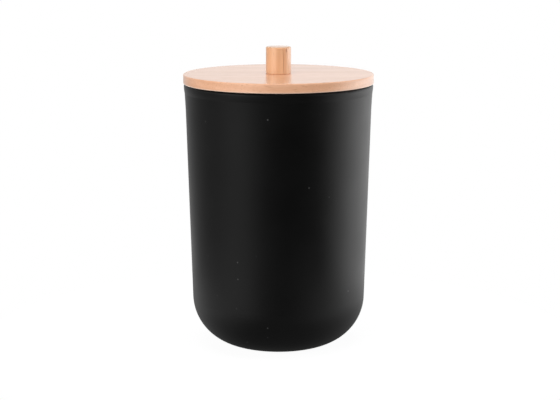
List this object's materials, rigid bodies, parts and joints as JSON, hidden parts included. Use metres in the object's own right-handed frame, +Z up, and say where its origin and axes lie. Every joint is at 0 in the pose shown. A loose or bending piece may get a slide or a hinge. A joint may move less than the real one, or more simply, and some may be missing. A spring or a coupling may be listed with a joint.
{
  "type": "cotton swab jar",
  "caption": "Tall round black plastic jar with a rounded base and a flat wooden lid that lifts off by a short dowel knob, for holding cotton swabs.",
  "frame": {"origin": "centre of the foot ring, on the surface that the jar stands on", "axes": "+Z up along the jar's axis, the way the lid lifts; the object is round, so +X and +Y are free"},
  "size_m": [0.074, 0.074, 0.117],
  "materials": {
    "jar": "matte moulded black, with a soft sheen",
    "lid_wood": "turned pale pinkish wood under a thin satin varnish",
    "knob_wood": "turned dowel, grain upright, thin satin varnish",
    "screw": "zinc plated",
    "seal": "translucent white silicone"
  },
  "bodies": {
    "jar": {"jar_body": "jar"},
    "lid": {"lid_disc": "lid_wood", "lid_knob": "knob_wood", "knob_screw": "screw", "seal_ring": "seal"}
  },
  "joints": [
    {"name": "lid_lift", "type": "slide", "parent": "jar", "child": "lid", "axis": [0, 0, 1], "range_m": [0, 0.08]}
  ]
}
